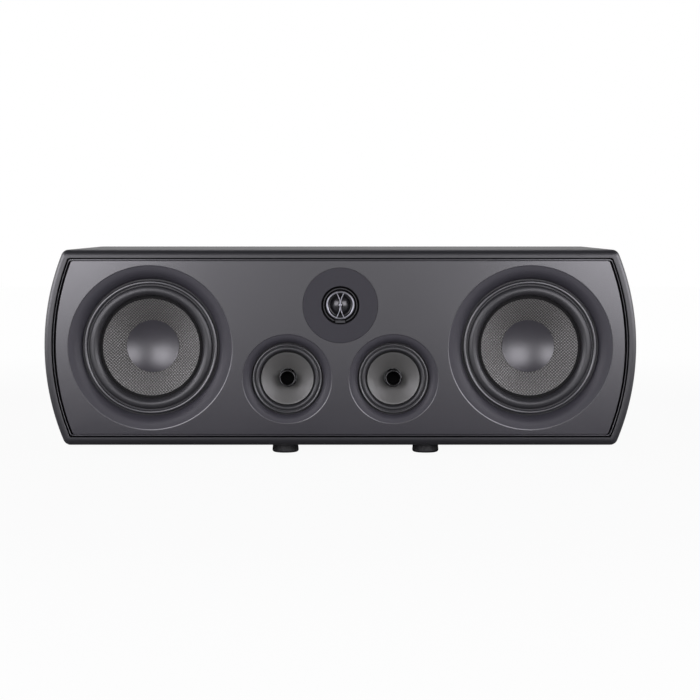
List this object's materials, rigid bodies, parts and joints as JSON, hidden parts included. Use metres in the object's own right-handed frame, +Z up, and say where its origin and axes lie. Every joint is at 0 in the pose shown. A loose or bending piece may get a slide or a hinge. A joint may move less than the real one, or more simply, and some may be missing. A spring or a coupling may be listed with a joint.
{
  "type": "center channel speaker",
  "caption": "Low, wide center channel speaker with bowed ends: woofers at both ends of the front, a tweeter above midranges between them, ports and binding posts behind.",
  "frame": {"origin": "on the floor, under the middle of the cabinet", "axes": "+X to the right of someone facing the front, -Y out of the front, +Z up"},
  "size_m": [0.7498, 0.32, 0.261],
  "materials": {
    "cabinet_lacquer": "satin black lacquer on board",
    "fascia_paint": "satin black paint",
    "bare_board": "bare fibreboard",
    "back_paint": "satin black paint",
    "moulded_black": "fine moulded texture",
    "screw_steel": "blackened",
    "foot_rubber": "matt",
    "ferrite": "dull grey",
    "yoke_steel": "plated",
    "faceplate_black": "matt",
    "chassis_black": "satin",
    "bridge_metal": "satin grey metal",
    "dome_film": "glossy black film",
    "circuit_board": "green",
    "copper_wire": "enamelled copper",
    "capacitor_film": "wrapped film",
    "resistor_body": "white cement",
    "foam": "open-cell foam",
    "post_brass": "gilt",
    "knob_red": "glossy red",
    "knob_black": "glossy black",
    "basket_alloy": "black coat on cast alloy",
    "ring_rubber": "satin",
    "surround_rubber": "satin",
    "spider_cloth": "stiffened cloth",
    "woven_cone": "woven fibre, satin",
    "cap_black": "satin",
    "plug_black": "dark satin metal"
  },
  "bodies": {
    "cabinet": {"back_panel": "back_paint", "baffle_board": "bare_board", "cabinet_shell": "cabinet_lacquer", "chamber_partitions": "bare_board", "crossover_board": "circuit_board", "crossover_capacitors": "capacitor_film", "crossover_inductors": "copper_wire", "crossover_resistors": "resistor_body", "damping_foam": "foam", "driver_screws": "screw_steel", "front_fascia": "fascia_paint", "left_mid_basket": "basket_alloy", "left_mid_phase_plug": "plug_black", "left_mid_spider": "spider_cloth", "left_mid_surround": "surround_rubber", "left_mid_trim_ring": "ring_rubber", "left_port_tube": "moulded_black", "left_woofer_basket": "basket_alloy", "left_woofer_spider": "spider_cloth", "left_woofer_surround": "surround_rubber", "left_woofer_trim_ring": "ring_rubber", "mid_magnets": "ferrite", "mid_yokes": "yoke_steel", "post_studs": "post_brass", "right_mid_basket": "basket_alloy", "right_mid_phase_plug": "plug_black", "right_mid_spider": "spider_cloth", "right_mid_surround": "surround_rubber", "right_mid_trim_ring": "ring_rubber", "right_port_tube": "moulded_black", "right_woofer_basket": "basket_alloy", "right_woofer_spider": "spider_cloth", "right_woofer_surround": "surround_rubber", "right_woofer_trim_ring": "ring_rubber", "rubber_feet": "foot_rubber", "terminal_cup": "moulded_black", "terminal_screws": "screw_steel", "tweeter_bridge": "bridge_metal", "tweeter_chassis": "chassis_black", "tweeter_diaphragm": "dome_film", "tweeter_faceplate": "faceplate_black", "tweeter_magnet": "ferrite", "tweeter_yoke": "yoke_steel", "woofer_magnets": "ferrite", "woofer_yokes": "yoke_steel"},
    "left_woofer_motion": {"left_woofer_cone": "woven_cone", "left_woofer_voice_coil": "copper_wire", "left_woofer_dust_cap": "cap_black"},
    "right_woofer_motion": {"right_woofer_cone": "woven_cone", "right_woofer_voice_coil": "copper_wire", "right_woofer_dust_cap": "cap_black"},
    "left_mid_motion": {"left_mid_cone": "woven_cone", "left_mid_voice_coil": "copper_wire"},
    "right_mid_motion": {"right_mid_cone": "woven_cone", "right_mid_voice_coil": "copper_wire"},
    "red_clamp": {"red_post_washer": "post_brass"},
    "red_knob": {"red_post_knob": "knob_red"},
    "black_clamp": {"black_post_washer": "post_brass"},
    "black_knob": {"black_post_knob": "knob_black"}
  },
  "joints": [
    {"name": "left_woofer_stroke", "type": "slide", "parent": "cabinet", "child": "left_woofer_motion", "axis": [0, -1, 0], "range_m": [-0.005, 0.005], "stiffness_N_per_m": 1000, "deforming": ["left_woofer_surround", "left_woofer_spider"]},
    {"name": "right_woofer_stroke", "type": "slide", "parent": "cabinet", "child": "right_woofer_motion", "axis": [0, -1, 0], "range_m": [-0.005, 0.005], "stiffness_N_per_m": 1000, "deforming": ["right_woofer_surround", "right_woofer_spider"]},
    {"name": "left_mid_stroke", "type": "slide", "parent": "cabinet", "child": "left_mid_motion", "axis": [0, -1, 0], "range_m": [-0.002, 0.002], "stiffness_N_per_m": 1500, "deforming": ["left_mid_surround", "left_mid_spider"]},
    {"name": "right_mid_stroke", "type": "slide", "parent": "cabinet", "child": "right_mid_motion", "axis": [0, -1, 0], "range_m": [-0.002, 0.002], "stiffness_N_per_m": 1500, "deforming": ["right_mid_surround", "right_mid_spider"]},
    {"name": "red_clamp_slide", "type": "slide", "parent": "cabinet", "child": "red_clamp", "axis": [0, 1, 0], "range_m": [0, 0.0061]},
    {"name": "red_knob_turn", "type": "hinge", "parent": "red_clamp", "child": "red_knob", "pos_m": [-0.0095, 0.1306, 0.137], "axis": [0, 1, 0], "range_deg": [0, 2160]},
    {"name": "black_clamp_slide", "type": "slide", "parent": "cabinet", "child": "black_clamp", "axis": [0, 1, 0], "range_m": [0, 0.0061]},
    {"name": "black_knob_turn", "type": "hinge", "parent": "black_clamp", "child": "black_knob", "pos_m": [0.0095, 0.1306, 0.137], "axis": [0, 1, 0], "range_deg": [0, 2160]}
  ],
  "couplings": [
    {"joint": "red_clamp_slide", "follows": "red_knob_turn", "m_per_rad": 0.00015915},
    {"joint": "black_clamp_slide", "follows": "black_knob_turn", "m_per_rad": 0.00015915}
  ]
}
